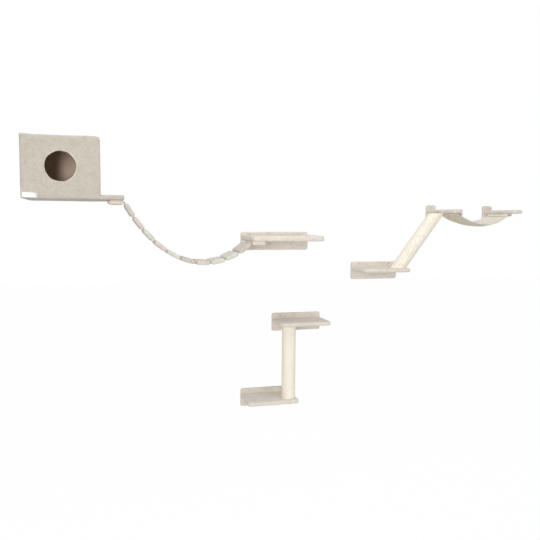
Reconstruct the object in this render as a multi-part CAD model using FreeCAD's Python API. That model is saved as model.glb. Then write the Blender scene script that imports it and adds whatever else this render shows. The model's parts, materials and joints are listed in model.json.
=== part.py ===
import FreeCAD, Part
import math
import os

# Wall mounted cat tree: a cave, a slatted hanging bridge, a centre shelf, two steps on an
# upright scratching post, a third step on a sloping scratching post, and a hammock.
# Millimetres.  +X runs to the right along the wall, +Y into the wall, +Z up.  The wall is the
# plane y = 0 and everything stands out from it towards -Y.  The origin is the middle of the
# two wall holes of the centre shelf.

Vector = FreeCAD.Vector
X_AXIS = Vector(1, 0, 0)
Y_AXIS = Vector(0, 1, 0)
Z_AXIS = Vector(0, 0, 1)

# ---- boards and their plush cover ---------------------------------------------------------
BOARD = 18.0                    # thickness of a bare board
PLUSH = 1.5                     # thickness of the plush glued round every board
COVERED = BOARD + 2 * PLUSH     # a board with plush on both faces
SOFT_EDGE = 3.0                 # rounding of the plush where it turns over an edge
BOARD_CORNER = 25.0             # rounding of a shelf's two front corners, seen from above
ARM_CORNER = 14.0               # the same on the two narrow hammock arms
PLATE_CORNER = 12.0             # rounding of a wall plate's four corners, seen from the front

# ---- wall plates --------------------------------------------------------------------------
PLATE_HEIGHT = 105.0
WALL_HOLE_R = 3.0               # hole for a wall screw
WALL_HOLE_DROP = 12.0           # from a plate's top edge down to its wall holes
WALL_HOLE_INSET = 52.0          # from a plate's end in to its wall hole
WALL_HOLE_RISE = 15.0           # from the bottom edge up to the lower hole of a hammock plate

# ---- centre shelf -------------------------------------------------------------------------
CENTRE_WIDTH = 408.0
CENTRE_DEPTH = 320.0
CENTRE_DROP = 17.0              # from the plate's top edge down to the top of the shelf
CENTRE_BOARD = 25.0             # the wide shelf has a thicker bare board than the steps

# ---- the three small steps ----------------------------------------------------------------
STEP_WIDTH = 300.0
STEP_DEPTH = 220.0
STEP_DROP = 30.0
RAMP_STEP_LEFT = 489.0
RAMP_STEP_TOP = -171.0
LOW_STEP_LEFT = -203.0
LOW_STEP_TOP = -918.0

# ---- scratching posts ---------------------------------------------------------------------
POST_R = 40.0                   # over the sisal
SISAL = 6.0                     # thickness of the sisal rope on the tube
TUBE_WALL = 3.0
PLUG_HEIGHT = 20.0              # wooden plug in each end of a tube
UPRIGHT_HEIGHT = 425.0          # free height between the two steps
UPRIGHT_FROM_END = 49.0         # from the low step's right end in to the post's axis
UPRIGHT_FROM_START = 61.0       # from the high step's left end in to the same axis
POST_FROM_FRONT = 60.0          # from a step's front edge in to the upright post's axis
RAMP_FOOT_FROM_END = 51.0       # from the ramp step's right end in to the foot's middle
RAMP_FROM_WALL = 145.0          # from the wall out to the sloping post's axis
RAMP_SLEEVE_GAP = 7.0           # between the sloping post and the sling's sleeve beside it
STUD_R = 4.0                    # threaded stud between a post and a board
STUD_STOP = 2.0                 # from a stud's end to the inner face of its plug
FOOT_STUD_SHIFT = 9.0           # the sloping post's lower stud stands this far right of its middle
HEAD_STUD_INSET = 13.0          # from the left arm's outer side in to the upper stud
TEE_BARREL_R = 5.0
TEE_BARREL = 9.0
TEE_FLANGE_R = 10.0
TEE_FLANGE = 1.5

# ---- hammock ------------------------------------------------------------------------------
ARM_WIDTH = 62.0
ARM_DEPTH = 332.0
ARM_DROP = 30.0
LEFT_ARM_LEFT = 993.0
ARM_PITCH = 406.0               # from one arm's left side to the other's
ARM_TOP = 151.0
ROD_R = 5.0
ROD_INSET = 6.0                 # from an arm's inner side in to the rod's axis
ROD_DROP = 9.0                  # from an arm's underside down to the rod's axis
ROD_END = 12.0                  # how far a rod runs on past the cloth at each end
SLING_WIDTH = 210.0             # the cloth from back to front, along the rods
SLING_FRONT_LEFT = 308.0        # from the wall out to the cloth's front edge on the left rod
SLING_FRONT_RIGHT = 275.0       # the same on the right rod, where the cloth sits further back
SLING_THICK = 3.0
SLEEVE_WALL = 2.7
SAG_FRONT = 57.0                # from the rods' axes down to the front edge's lowest point
SAG_MIDDLE = 68.0               # the same half way back, where the cloth is slackest
SAG_BACK = 47.0                 # the same at the back edge, which is the tightest
LOW_FRONT = 0.58                # where those lowest points lie, as shares of the span
LOW_MIDDLE = 0.50
LOW_BACK = 0.42
CAP_R = 6.5
CAP_LENGTH = 9.0
EYE_WIRE_R = 1.5
EYE_FROM_CLOTH = 6.0            # from the sling's edge out to the middle of an eye
EYE_SHANK = 14.0                # length of an eye's shank inside the arm

# ---- cave ---------------------------------------------------------------------------------
CAVE_LEFT = -1357.0
CAVE_WIDTH = 366.0
CAVE_DEPTH = 372.0
CAVE_HEIGHT = 302.0             # from the underside of the floor to the top of the roof
CAVE_UNDERSIDE = 178.0
CAVE_ARM = 115.0                # how far the floor board runs on past the cave
CAVE_PANEL = 12.0
CAVE_BACK_PANEL = 15.0
CAVE_ROOF_CORNER = 5.0          # rounding of the roof's two long edges
CAVE_ARM_CORNER = 12.0          # rounding of the arm's front corner, seen from above
CAVE_SOFT_EDGE = 4.0            # rounding of the front's edges
HOLE_R = 73.0                   # entrance, inside its rim
HOLE_RISE = 156.0               # from the underside of the floor up to the entrance's middle
HOLE_SHIFT = -1.0               # from the middle of the front to the entrance's middle
RIM_WALL = 2.0
RIM_FLANGE = 5.0                # width of the rim's turned-over lip on the front
RIM_PROUD = 1.5                 # how far the lip stands out of the plush
LABEL_WIDTH = 76.0
LABEL_HEIGHT = 25.0
LABEL_INSET = 7.0
LABEL_RISE = 4.0
LABEL_THICK = 0.8
CAVE_HOLE_SPACING_X = 240.0
CAVE_HOLE_SPACING_Z = 160.0

# ---- bridge -------------------------------------------------------------------------------
SLATS = 10
SLAT_LENGTH = 73.0
SLAT_GAP = 8.0
SLAT_WIDTH = 200.0
SLAT_EDGE = 9.0                 # rounding of a slat's two long edges, over the plush
BRIDGE_FROM_WALL = 212.0        # from the wall out to the bridge's middle line
CORD_R = 2.5
CORD_SPACING = 140.0            # between the two cords
CORD_EXIT = 3.5                 # from an anchor slat's end to the bend of the cord
CORD_LINK = 7.0                 # from that bend to the first pivot
KNOT_R = 6.0

# ---- fasteners and clearances -------------------------------------------------------------
SCREW_R = 2.0
SCREW_LENGTH = 35.0
SCREW_HEAD_R = 4.0
SCREW_HEAD = 3.0
SCREW_SINK = 0.5                # how deep a head lies below its board's face
SCREW_INSET = 40.0              # from a board's corner in to its outer screw
SCREW_CLEARANCE = 0.1
ROD_CLEARANCE = 0.3
CORD_CLEARANCE = 0.5
RIM_CLEARANCE = 0.1

# ---- positions worked out from the sizes above --------------------------------------------
SLAT_PITCH = SLAT_LENGTH + SLAT_GAP
PLATE_FRONT = -(BOARD + PLUSH)
THROUGH = 1.0                   # how far a cutter runs on past the face that it comes out of
CENTRE_LEFT = -CENTRE_WIDTH / 2
CENTRE_TOP = WALL_HOLE_DROP
CENTRE_COVERED = CENTRE_BOARD + 2 * PLUSH
CENTRE_UNDERSIDE = CENTRE_TOP - CENTRE_DROP - CENTRE_COVERED
LOW_STEP_SURFACE = LOW_STEP_TOP - STEP_DROP
HIGH_STEP_TOP = LOW_STEP_SURFACE + UPRIGHT_HEIGHT + COVERED + STEP_DROP
RAMP_STEP_SURFACE = RAMP_STEP_TOP - STEP_DROP
RAMP_STEP_RIGHT = RAMP_STEP_LEFT + STEP_WIDTH
UPRIGHT_X = LOW_STEP_LEFT + STEP_WIDTH - UPRIGHT_FROM_END
HIGH_STEP_LEFT = UPRIGHT_X - UPRIGHT_FROM_START
SLEEVE_R = ROD_R + ROD_CLEARANCE + SLEEVE_WALL
ARM_PLATE_TOP = ARM_TOP + ARM_DROP
ARM_UNDERSIDE = ARM_TOP - COVERED
RIGHT_ARM_LEFT = LEFT_ARM_LEFT + ARM_PITCH
CAVE_RIGHT = CAVE_LEFT + CAVE_WIDTH
CAVE_ARM_RIGHT = CAVE_RIGHT + CAVE_ARM
CAVE_TOP = CAVE_UNDERSIDE + CAVE_HEIGHT
CAVE_FLOOR = CAVE_UNDERSIDE + COVERED
CAVE_MIDDLE = CAVE_LEFT + CAVE_WIDTH / 2
HOLE_X = CAVE_MIDDLE + HOLE_SHIFT
HOLE_Z = CAVE_UNDERSIDE + HOLE_RISE

NODES = {}
DRILLED = ("_plate", "_plates", "_board", "_boards", "_panel", "_panels", "_cover", "_covers",
           "_slats", "_plugs")     # endings of the nodes that screws, studs or eyes go into


# ---- small helpers ------------------------------------------------------------------------
def box(x0, x1, y0, y1, z0, z1):
    return Part.makeBox(x1 - x0, y1 - y0, z1 - z0, Vector(x0, y0, z0))


def rod(start, direction, radius, length):
    return Part.makeCylinder(radius, length, start, direction)


def runs_along(edge, axis):
    """True for a straight edge parallel to the axis."""
    a, b = edge.Vertexes[0].Point, edge.Vertexes[-1].Point
    span = b.sub(a)
    return span.Length > 1e-6 and abs(span.dot(axis)) > 0.999 * span.Length


def edges_at(shape, test):
    """The edges whose two ends and middle all pass the test."""
    found = []
    for edge in shape.Edges:
        middle = edge.valueAt((edge.FirstParameter + edge.LastParameter) / 2)
        points = [vertex.Point for vertex in edge.Vertexes] + [middle]
        if all(test(point) for point in points):
            found.append(edge)
    return found


def near(a, b):
    return abs(a - b) < 1e-4


def keep(node, *solids):
    """Names one node and the separate solids in it."""
    NODES[node] = list(solids)


# ---- screws -------------------------------------------------------------------------------
def countersunk(start, direction, clearance=0.0):
    """A countersunk screw, or with a clearance the hole it sits in."""
    sunk = start + direction * SCREW_SINK
    shank = rod(sunk, direction, SCREW_R + clearance, SCREW_LENGTH + clearance)
    head = Part.makeCone(SCREW_HEAD_R + clearance, SCREW_R + clearance, SCREW_HEAD, sunk, direction)
    solid = shank.fuse(head)
    if clearance:
        solid = solid.fuse(rod(start, direction, SCREW_HEAD_R + clearance, SCREW_SINK))
    return solid.removeSplitter()


SCREW_PLACES = []


def screw_row(places, direction):
    for place in places:
        SCREW_PLACES.append((place, direction))


def drill(solid, cutters):
    """Cuts the cutters that reach the solid out of it."""
    reach = [cutter for cutter in cutters if cutter.BoundBox.intersect(solid.BoundBox)]
    return solid.cut(reach) if reach else solid


def screw_holes():
    return [countersunk(place, direction, SCREW_CLEARANCE) for place, direction in SCREW_PLACES]


# ---- wall plates and shelves --------------------------------------------------------------
def plate_block(left, right, bottom, top, front, corner):
    block = box(left, right, front, 0, bottom, top)
    return block.makeFillet(corner, [e for e in block.Edges if runs_along(e, Y_AXIS)])


def plate(left, top, width, hole_places):
    """A wall plate and the plush over its front and edges, both drilled for the wall."""
    right, bottom = left + width, top - PLATE_HEIGHT
    outer = plate_block(left, right, bottom, top, PLATE_FRONT, PLATE_CORNER)
    outer = outer.makeFillet(SOFT_EDGE, edges_at(outer, lambda p: near(p.y, PLATE_FRONT)))
    core = plate_block(left + PLUSH, right - PLUSH, bottom + PLUSH, top - PLUSH,
                       -BOARD, PLATE_CORNER - PLUSH)
    holes = [rod(Vector(x, THROUGH, z), -Y_AXIS, WALL_HOLE_R, 2 * THROUGH - PLATE_FRONT)
             for x, z in hole_places]
    cover = outer.cut([core] + holes)
    return core.cut(holes), cover


def shelf_block(left, right, front, underside, top, corner):
    block = box(left, right, front, PLATE_FRONT, underside, top)
    upright = [e for e in edges_at(block, lambda p: near(p.y, front)) if runs_along(e, Z_AXIS)]
    return block.makeFillet(corner, upright)


def shelf(left, width, depth, top, covered, corner):
    """A shelf board that butts against its wall plate, and its sleeve of plush."""
    right, underside = left + width, top - covered
    outer = shelf_block(left, right, -depth, underside, top, corner)
    rim = [e for e in edges_at(outer, lambda p: near(p.z, top) or near(p.z, underside))
           if not (near(e.Vertexes[0].Point.y, PLATE_FRONT)
                   and near(e.Vertexes[-1].Point.y, PLATE_FRONT))]
    outer = outer.makeFillet(SOFT_EDGE, rim)
    core = shelf_block(left + PLUSH, right - PLUSH, -depth + PLUSH, underside + PLUSH,
                       top - PLUSH, corner - PLUSH)
    return core, outer.cut(core)


def row_of_wall_holes(left, top, width):
    z = top - WALL_HOLE_DROP
    return [(left + WALL_HOLE_INSET, z), (left + width - WALL_HOLE_INSET, z)]


def pair_of_wall_holes(left, top, width):
    x = left + width / 2
    return [(x, top - WALL_HOLE_DROP), (x, top - PLATE_HEIGHT + WALL_HOLE_RISE)]


def even_places(first, last, count):
    return [first + (last - first) * i / (count - 1) for i in range(count)]


def wall_shelf(name, left, top, width, depth, drop, corner, holes, screws, screw_inset,
               covered=COVERED):
    """Plate, board and plush of one wall unit, and the screws from the plate to the board."""
    plate_core, plate_cover = plate(left, top, width, holes)
    board_core, board_cover = shelf(left, width, depth, top - drop, covered, corner)
    z = top - drop - covered / 2
    places = even_places(left + screw_inset, left + width - screw_inset, screws)
    screw_row([Vector(x, 0, z) for x in places], -Y_AXIS)
    keep(name + "_plate", plate_core)
    keep(name + "_board", board_core)
    keep(name + "_cover", plate_cover, board_cover)


# ---- posts --------------------------------------------------------------------------------
def slab_between(z0, z1):
    reach = 2 * (CENTRE_WIDTH + STEP_WIDTH + ARM_PITCH)
    return box(-reach, reach, -reach, reach, z0, z1)


def post_cylinder(foot, head, radius):
    """A round bar about the line from foot to head, cut level at both ends."""
    along = head.sub(foot)
    along.normalize()
    spare = 2 * POST_R
    bar = rod(foot - along * spare, along, radius, head.sub(foot).Length + 2 * spare)
    return bar.common(slab_between(foot.z, head.z))


def post(foot, head):
    """The sisal sleeve, the tube inside it and the two end plugs of a post."""
    tube_r = POST_R - SISAL
    plug_r = tube_r - TUBE_WALL
    inner = post_cylinder(foot, head, plug_r)
    tube = post_cylinder(foot, head, tube_r)
    sisal = post_cylinder(foot, head, POST_R).cut(tube)
    plugs = [inner.common(slab_between(foot.z, foot.z + PLUG_HEIGHT)),
             inner.common(slab_between(head.z - PLUG_HEIGHT, head.z))]
    return sisal, tube.cut(inner), plugs


def stud_set(place, up):
    """A stud through a board into a plug, its tee nut and the holes both need.

    The place is on the board's face that the post meets, and up points into the board."""
    far = place + up * (COVERED - PLUSH)
    depth = PLUG_HEIGHT - STUD_STOP
    start = place - up * depth
    stud = rod(start, up, STUD_R, depth + COVERED - PLUSH - TEE_FLANGE)
    bore = rod(far, -up, STUD_R + SCREW_CLEARANCE, COVERED)
    flange = rod(far, -up, TEE_FLANGE_R, TEE_FLANGE)
    barrel = rod(far, -up, TEE_BARREL_R, TEE_BARREL)
    nut = flange.fuse(barrel).cut(bore).removeSplitter()
    seat = rod(far, -up, TEE_FLANGE_R + SCREW_CLEARANCE, TEE_FLANGE)
    seat = seat.fuse(rod(far, -up, TEE_BARREL_R + SCREW_CLEARANCE, TEE_BARREL))
    shaft = rod(start - up * SCREW_CLEARANCE, up, STUD_R + SCREW_CLEARANCE,
                far.sub(start).Length + SCREW_CLEARANCE)
    return stud, nut, seat.fuse(shaft)


# ---- bridge geometry ----------------------------------------------------------------------
def hang(start, end, lengths):
    """Angles of a chain of links of those lengths that hangs between two points.

    The slopes of equal hanging links rise by equal steps, so the first slope and the step are
    found by Newton's method from the two distances that the links have to span."""
    span_x, span_z = end.x - start.x, end.z - start.z

    def miss(slope, step):
        angles = [math.atan(slope + step * i) for i in range(len(lengths))]
        dx = sum(length * math.cos(a) for length, a in zip(lengths, angles)) - span_x
        dz = sum(length * math.sin(a) for length, a in zip(lengths, angles)) - span_z
        return dx, dz

    slope, step, small = -1.4, 0.25, 1e-6
    for _ in range(60):
        dx, dz = miss(slope, step)
        ax, az = miss(slope + small, step)
        bx, bz = miss(slope, step + small)
        xa, za, xb, zb = (ax - dx) / small, (az - dz) / small, (bx - dx) / small, (bz - dz) / small
        det = xa * zb - xb * za
        slope -= (dx * zb - dz * xb) / det
        step -= (dz * xa - dx * za) / det
    return [math.atan(slope + step * i) for i in range(len(lengths))]


def bridge_line():
    """Bend points of the cords at both anchors, the slats' pivots and the slats' angles."""
    y = -BRIDGE_FROM_WALL
    first_bend = Vector(CAVE_ARM_RIGHT + CORD_EXIT, y, CAVE_UNDERSIDE - COVERED / 2)
    last_bend = Vector(CENTRE_LEFT - CORD_EXIT, y, CENTRE_UNDERSIDE - COVERED / 2)
    lengths = [SLAT_PITCH] * SLATS
    lengths[0] += CORD_LINK
    lengths[-1] += CORD_LINK
    angles = hang(first_bend, last_bend, lengths)
    along = [Vector(math.cos(a), 0, math.sin(a)) for a in angles]
    pivots = [first_bend + along[0] * CORD_LINK]
    for direction in along:
        pivots.append(pivots[-1] + direction * SLAT_PITCH)
    return first_bend, last_bend, pivots, angles


def cord_ys():
    return [-BRIDGE_FROM_WALL - CORD_SPACING / 2, -BRIDGE_FROM_WALL + CORD_SPACING / 2]


def slat_blocks(angle, middle):
    """A slat's board and its plush, drilled for the two cords, laid at its place."""
    half, width, thick = SLAT_LENGTH / 2, SLAT_WIDTH / 2, COVERED / 2
    outer = box(-half, half, -width, width, -thick, thick)
    outer = outer.makeFillet(SLAT_EDGE, [e for e in outer.Edges if runs_along(e, Y_AXIS)])
    ends = edges_at(outer, lambda p: near(abs(p.y), width))
    outer = outer.makeFillet(SOFT_EDGE, ends)
    core = box(-half + PLUSH, half - PLUSH, -width + PLUSH, width - PLUSH,
               -thick + PLUSH, thick - PLUSH)
    core = core.makeFillet(SLAT_EDGE - PLUSH, [e for e in core.Edges if runs_along(e, Y_AXIS)])
    bores = [rod(Vector(-half - THROUGH, y + BRIDGE_FROM_WALL, 0), X_AXIS,
                 CORD_R + CORD_CLEARANCE, SLAT_LENGTH + 2 * THROUGH) for y in cord_ys()]
    cover = outer.cut([core] + bores)
    core = core.cut(bores)
    turn = FreeCAD.Rotation(Y_AXIS, -math.degrees(angle))
    for solid in (core, cover):
        solid.Placement = FreeCAD.Placement(middle, turn)
    return core, cover


def bent_line(points, tangent):
    """A wire through the points whose corners are arcs with that tangent length.

    It comes with the radii of those arcs."""
    edges, radii = [], []
    start = points[0]
    for before, corner, after in zip(points, points[1:], points[2:]):
        back = before.sub(corner).normalize()
        ahead = after.sub(corner).normalize()
        enter, leave = corner + back * tangent, corner + ahead * tangent
        half_turn = (math.pi - back.getAngle(ahead)) / 2
        radius = tangent / math.tan(half_turn)
        radii.append(round(radius, 1))
        bisector = (back + ahead).normalize()
        centre = corner + bisector * math.hypot(radius, tangent)
        edges.append(Part.LineSegment(start, enter).toShape())
        edges.append(Part.Arc(enter, centre - bisector * radius, leave).toShape())
        start = leave
    edges.append(Part.LineSegment(start, points[-1]).toShape())
    return Part.Wire(edges), radii


def cord(y, line):
    """One of the two bridge cords, threaded through every slat, with a knot at each end."""
    first_bend, last_bend, pivots, _ = line
    left_end = Vector(CAVE_ARM_RIGHT - SLAT_LENGTH - KNOT_R, y, first_bend.z)
    right_end = Vector(CENTRE_LEFT + SLAT_LENGTH + KNOT_R, y, last_bend.z)
    bends = [first_bend] + pivots[1:-1] + [last_bend]
    points = [left_end] + [Vector(p.x, y, p.z) for p in bends] + [right_end]
    path, radii = bent_line(points, CORD_EXIT - CORD_CLEARANCE)
    ring = Part.Wire(Part.makeCircle(CORD_R, points[0], X_AXIS))
    strand = path.makePipeShell([ring], True, False)
    section = math.pi * CORD_R ** 2
    print("cord at y", y, "length", round(path.Length, 1), "radii", radii,
          "volume over section times length", round(strand.Volume / (section * path.Length), 4))
    knots = [Part.makeSphere(KNOT_R, end) for end in (left_end, right_end)]
    return strand.fuse(knots).removeSplitter()


# ---- cave ---------------------------------------------------------------------------------
def carcass(inset):
    """The cave's outer block, drawn in by an inset, with its roof and front edges rounded."""
    left, right = CAVE_LEFT + inset, CAVE_RIGHT - inset
    front, top = -CAVE_DEPTH + inset, CAVE_TOP - inset
    block = box(left, right, front, 0, CAVE_UNDERSIDE, top)
    roof = [e for e in edges_at(block, lambda p: near(p.z, top)) if runs_along(e, Y_AXIS)]
    block = block.makeFillet(CAVE_ROOF_CORNER - inset, roof)
    face = [e for e in edges_at(block, lambda p: near(p.y, front))
            if not lies_on_floor(e)]
    return block.makeFillet(CAVE_SOFT_EDGE - inset, face)


def lies_on_floor(edge):
    """True for an edge on the underside, where the floor's plush goes on without a rounding."""
    return all(near(vertex.Point.z, CAVE_UNDERSIDE) for vertex in edge.Vertexes)


def hole_bar(radius, front, back):
    return rod(Vector(HOLE_X, front, HOLE_Z), Y_AXIS, radius, back - front)


def cave():
    """Floor board with its arm, four walls and roof, covers, entrance rim and label."""
    inner = carcass(PLUSH)
    left, right = CAVE_LEFT + PLUSH, CAVE_RIGHT - PLUSH
    front, top = -CAVE_DEPTH + PLUSH, CAVE_TOP - PLUSH
    roof = top - CAVE_PANEL
    behind_front = front + CAVE_PANEL
    wall_bars = [rod(Vector(x, THROUGH, z), -Y_AXIS, WALL_HOLE_R, CAVE_BACK_PANEL + 2 * THROUGH)
                 for x, z in cave_hole_places()]
    hole = hole_bar(HOLE_R + RIM_WALL + RIM_CLEARANCE, -CAVE_DEPTH - THROUGH,
                    behind_front + THROUGH)

    side_low = box(left, left + CAVE_PANEL, behind_front, 0, CAVE_FLOOR, roof)
    side_high = box(right - CAVE_PANEL, right, behind_front, 0, CAVE_FLOOR, roof)
    back = box(left + CAVE_PANEL, right - CAVE_PANEL, -CAVE_BACK_PANEL, 0, CAVE_FLOOR, roof)
    lid = box(left, right, behind_front, 0, roof, top).common(inner)
    face = box(left, right, front, behind_front, CAVE_FLOOR, top).common(inner)
    keep("cave_side_panels", side_low.common(inner), side_high.common(inner))
    keep("cave_back_panel", back.cut(wall_bars))
    keep("cave_roof_panel", lid)
    keep("cave_front_panel", face.cut(hole))

    floor_right = CAVE_ARM_RIGHT - PLUSH
    floor = box(left, floor_right, front, 0, CAVE_UNDERSIDE + PLUSH, CAVE_FLOOR - PLUSH)
    corner = [e for e in edges_at(floor, lambda p: near(p.y, front) and near(p.x, floor_right))
              if runs_along(e, Z_AXIS)]
    floor = floor.makeFillet(CAVE_ARM_CORNER - PLUSH, corner)
    keep("cave_floor_board", floor)

    under_front = box(left, right, front, 0, CAVE_UNDERSIDE, CAVE_FLOOR)
    arm = box(CAVE_RIGHT, CAVE_ARM_RIGHT, -CAVE_DEPTH, 0, CAVE_UNDERSIDE, CAVE_FLOOR)
    corner = [e for e in edges_at(arm, lambda p: near(p.y, -CAVE_DEPTH)
                                  and near(p.x, CAVE_ARM_RIGHT)) if runs_along(e, Z_AXIS)]
    arm = arm.makeFillet(CAVE_ARM_CORNER, corner)
    rim = [e for e in edges_at(arm, lambda p: near(p.z, CAVE_UNDERSIDE) or near(p.z, CAVE_FLOOR))
           if not all(near(v.Point.x, CAVE_RIGHT) for v in e.Vertexes)
           and not all(near(v.Point.y, 0) for v in e.Vertexes)]
    arm = arm.makeFillet(SOFT_EDGE, rim)
    seam = box(right, CAVE_RIGHT, front, 0, CAVE_UNDERSIDE, CAVE_FLOOR)
    floor_cover = arm.fuse([under_front, seam]).removeSplitter().cut(floor)
    floor_cover = floor_cover.common(carcass(0.0).fuse(arm))
    keep("cave_floor_cover", floor_cover)
    keep("cave_cover", carcass(0.0).cut([inner, hole, floor, floor_cover]))

    lip_front = -CAVE_DEPTH - RIM_PROUD
    lining = hole_bar(HOLE_R + RIM_WALL, lip_front, behind_front)
    lip = hole_bar(HOLE_R + RIM_FLANGE, lip_front, -CAVE_DEPTH)
    bore = hole_bar(HOLE_R, lip_front - THROUGH, behind_front + THROUGH)
    keep("cave_hole_rim", lining.fuse(lip).cut(bore).removeSplitter())

    label_left = CAVE_LEFT + LABEL_INSET
    label_low = CAVE_UNDERSIDE + LABEL_RISE
    keep("cave_label", box(label_left, label_left + LABEL_WIDTH, -CAVE_DEPTH - LABEL_THICK,
                           -CAVE_DEPTH, label_low, label_low + LABEL_HEIGHT))

    mid_left, mid_right = left + CAVE_PANEL / 2, right - CAVE_PANEL / 2
    depths = even_places(front + SCREW_INSET, -SCREW_INSET, 3)
    heights = even_places(CAVE_FLOOR + SCREW_INSET, roof - SCREW_INSET, 2)
    under = CAVE_UNDERSIDE + PLUSH
    for x in (mid_left, mid_right):
        screw_row([Vector(x, y, under) for y in depths], Z_AXIS)
        screw_row([Vector(x, y, top) for y in depths], -Z_AXIS)
        screw_row([Vector(x, front, z) for z in heights], Y_AXIS)
    for z in heights:
        back_y = -CAVE_BACK_PANEL / 2
        screw_row([Vector(left, back_y, z)], X_AXIS)
        screw_row([Vector(right, back_y, z)], -X_AXIS)


def cave_hole_places():
    middle = (CAVE_FLOOR + CAVE_TOP - PLUSH - CAVE_PANEL) / 2
    return [(CAVE_MIDDLE + sx * CAVE_HOLE_SPACING_X / 2, middle + sz * CAVE_HOLE_SPACING_Z / 2)
            for sx in (-1, 1) for sz in (-1, 1)]


# ---- hammock ------------------------------------------------------------------------------
def rod_places():
    """X of the left and the right rod, and the Z of both."""
    left = LEFT_ARM_LEFT + ARM_WIDTH - ROD_INSET
    right = RIGHT_ARM_LEFT + ROD_INSET
    return left, right, ARM_UNDERSIDE - ROD_DROP


def cloth_edge(left_end, right_end, low_share, low_z):
    """An upright section of the cloth: a thin band along two arcs that meet at its low point.

    It comes with the length of the band's middle line."""
    across = Vector(right_end.x - left_end.x, right_end.y - left_end.y, 0)
    low = left_end + across * low_share
    low.z = low_z
    half = SLING_THICK / 2
    edges, length = [], 0.0
    outer, inner = [], []
    for end in (left_end, right_end):
        sideways = Vector(end.x - low.x, end.y - low.y, 0)
        reach, rise = sideways.Length, end.z - low.z
        radius = (reach ** 2 + rise ** 2) / (2 * rise)
        swing = math.asin(reach / radius)
        centre = Vector(low.x, low.y, low.z + radius)
        sideways.normalize()
        for line, r in ((outer, radius + half), (inner, radius - half)):
            line.append([centre + sideways * (r * math.sin(a)) - Z_AXIS * (r * math.cos(a))
                         for a in (0, swing / 2, swing)])
        length += radius * swing
    edges.append(Part.Arc(outer[0][2], outer[0][1], outer[0][0]).toShape())
    edges.append(Part.Arc(*outer[1]).toShape())
    edges.append(Part.LineSegment(outer[1][2], inner[1][2]).toShape())
    edges.append(Part.Arc(inner[1][2], inner[1][1], inner[1][0]).toShape())
    edges.append(Part.Arc(*inner[0]).toShape())
    edges.append(Part.LineSegment(inner[0][2], outer[0][2]).toShape())
    return Part.Wire(edges), length


def sling():
    """The cloth: two sleeves round the rods and a sheet that hangs slack between them."""
    left, right, z = rod_places()
    middle_r = SLEEVE_R - SLEEVE_WALL / 2
    reach = middle_r * math.sqrt(0.5)
    wires, lengths = [], []
    for back_share, low_share, sag in ((0.0, LOW_FRONT, SAG_FRONT), (0.5, LOW_MIDDLE, SAG_MIDDLE),
                                       (1.0, LOW_BACK, SAG_BACK)):
        back = SLING_WIDTH * back_share
        left_end = Vector(left + reach, back - SLING_FRONT_LEFT, z - reach)
        right_end = Vector(right - reach, back - SLING_FRONT_RIGHT, z - reach)
        wire, length = cloth_edge(left_end, right_end, low_share, z - sag)
        wires.append(wire)
        lengths.append(length + 2 * 2 * math.pi * middle_r)
    sheet = Part.makeLoft(wires, True)
    print("sling cut to", round(sum(lengths) / 3), "by", SLING_WIDTH)
    sleeves, bores = [], []
    for x, front in ((left, SLING_FRONT_LEFT), (right, SLING_FRONT_RIGHT)):
        sleeves.append(rod(Vector(x, -front, z), Y_AXIS, SLEEVE_R, SLING_WIDTH))
        bores.append(rod(Vector(x, -front - THROUGH, z), Y_AXIS, ROD_R + ROD_CLEARANCE,
                         SLING_WIDTH + 2 * THROUGH))
    return sheet.fuse(sleeves).removeSplitter().cut(bores)


def rod_eye(x, y, z):
    """A screw eye: a ring of wire round the rod on a shank that goes up into the arm."""
    ring_r = ROD_R + ROD_CLEARANCE + EYE_WIRE_R
    ring = Part.makeTorus(ring_r, EYE_WIRE_R, Vector(x, y, z), Y_AXIS)
    foot = z + ring_r
    shank = rod(Vector(x, y, foot), Z_AXIS, EYE_WIRE_R, ARM_UNDERSIDE + EYE_SHANK - foot)
    return ring.fuse(shank)


def hammock():
    left, right, z = rod_places()
    bars, caps, eyes, holes = [], [], [], []
    for x, cloth_front in ((left, SLING_FRONT_LEFT), (right, SLING_FRONT_RIGHT)):
        front = -cloth_front - ROD_END
        back = -cloth_front + SLING_WIDTH + ROD_END
        bars.append(rod(Vector(x, front, z), Y_AXIS, ROD_R, back - front))
        caps.append(rod_cap(x, z, front, -1))
        caps.append(rod_cap(x, z, back, 1))
        for y in (-cloth_front - EYE_FROM_CLOTH, -cloth_front + SLING_WIDTH + EYE_FROM_CLOTH):
            eyes.append(rod_eye(x, y, z))
            holes.append(rod(Vector(x, y, ARM_UNDERSIDE - THROUGH), Z_AXIS,
                             EYE_WIRE_R + SCREW_CLEARANCE,
                             EYE_SHANK + THROUGH + SCREW_CLEARANCE))
    keep("sling_rods", *bars)
    keep("sling_rod_caps", *caps)
    keep("sling_rod_eyes", *eyes)
    keep("hammock_sling", sling())
    return holes


def rod_cap(x, z, y, outward):
    """A domed plastic cap on a rod's end face."""
    cap = rod(Vector(x, y, z), Y_AXIS * outward, CAP_R, CAP_LENGTH)
    far = y + outward * CAP_LENGTH
    return cap.makeFillet(CAP_R / 2, edges_at(cap, lambda p: near(p.y, far)))


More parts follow.
